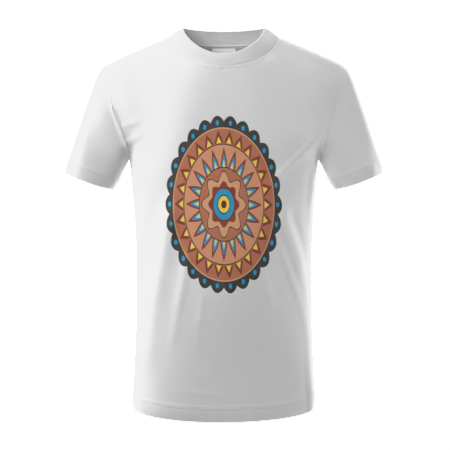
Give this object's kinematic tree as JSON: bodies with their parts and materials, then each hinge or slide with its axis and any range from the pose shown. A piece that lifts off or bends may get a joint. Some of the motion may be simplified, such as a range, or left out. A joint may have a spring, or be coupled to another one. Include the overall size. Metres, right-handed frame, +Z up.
{
  "type": "t-shirt",
  "caption": "Child's white crew-neck T-shirt with short sleeves, softly filled with air and lying on its back, open at hem, sleeves and neck, with a printed front.",
  "frame": {"origin": "on the surface that the back panel lies on, under the middle of the shirt's length and width", "axes": "+Y from the hem to the neck, +Z up out of the printed front, +X across the shirt to the right of someone who looks at the print upright"},
  "size_m": [0.464, 0.5713, 0.0654],
  "materials": {
    "jersey": "matte",
    "rib": "matte",
    "tape": "matte",
    "label": "satin"
  },
  "bodies": {
    "root": {"front_panel": "jersey", "back_panel": "jersey", "left_sleeve": "jersey", "right_sleeve": "jersey", "neck_rib": "rib", "neck_tape": "tape", "neck_label": "label"}
  },
  "joints": []
}
